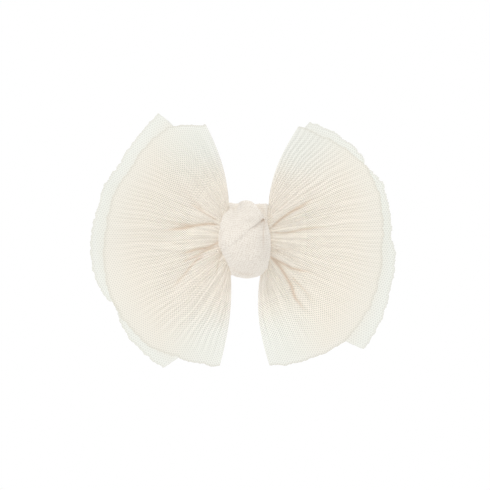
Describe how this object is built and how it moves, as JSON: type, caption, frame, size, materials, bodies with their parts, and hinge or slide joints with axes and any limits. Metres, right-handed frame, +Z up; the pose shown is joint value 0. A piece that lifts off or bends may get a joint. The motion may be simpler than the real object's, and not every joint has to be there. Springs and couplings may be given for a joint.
{
  "type": "hair bow",
  "caption": "Gathered net hair bow tied by a knotted rib-knit band, on a sprung alligator clip whose rear jaw opens to take a lock of hair.",
  "frame": {"origin": "where the clip's jaws would meet, level with the knot and midway along the bow", "axes": "+X along the bow towards its right wing seen from the face, -Y out of the bow's face, +Y towards the head, +Z up as worn"},
  "size_m": [0.1291, 0.0323, 0.1059],
  "materials": {
    "net": "matt cream nylon net",
    "rib_knit": "matt cream rib-knit nylon",
    "thread": "cream polyester thread",
    "ribbon": "cream grosgrain",
    "steel": "nickel-plated",
    "spring_wire": "drawn wire",
    "pad_rubber": "matt, ribbed"
  },
  "bodies": {
    "bow": {"front_sheet": "net", "second_sheet": "net", "third_sheet": "net", "rear_sheet": "net", "gathering_thread": "thread", "knotted_band": "rib_knit", "band_stitches": "thread", "clip_upper_arm": "steel", "clip_pin": "steel", "clip_spring": "spring_wire", "upper_ribbon": "ribbon", "grip_pad": "pad_rubber"},
    "jaw": {"clip_lower_arm": "steel", "lower_ribbon": "ribbon"}
  },
  "joints": [
    {"name": "jaw_hinge", "type": "hinge", "parent": "bow", "child": "jaw", "pos_m": [0.014, 0, 0], "axis": [0, 0, -1], "range_deg": [0, 26], "stiffness_Nm_per_rad": 0.08, "springref_deg": -40.11, "deforming": ["clip_spring"]}
  ]
}
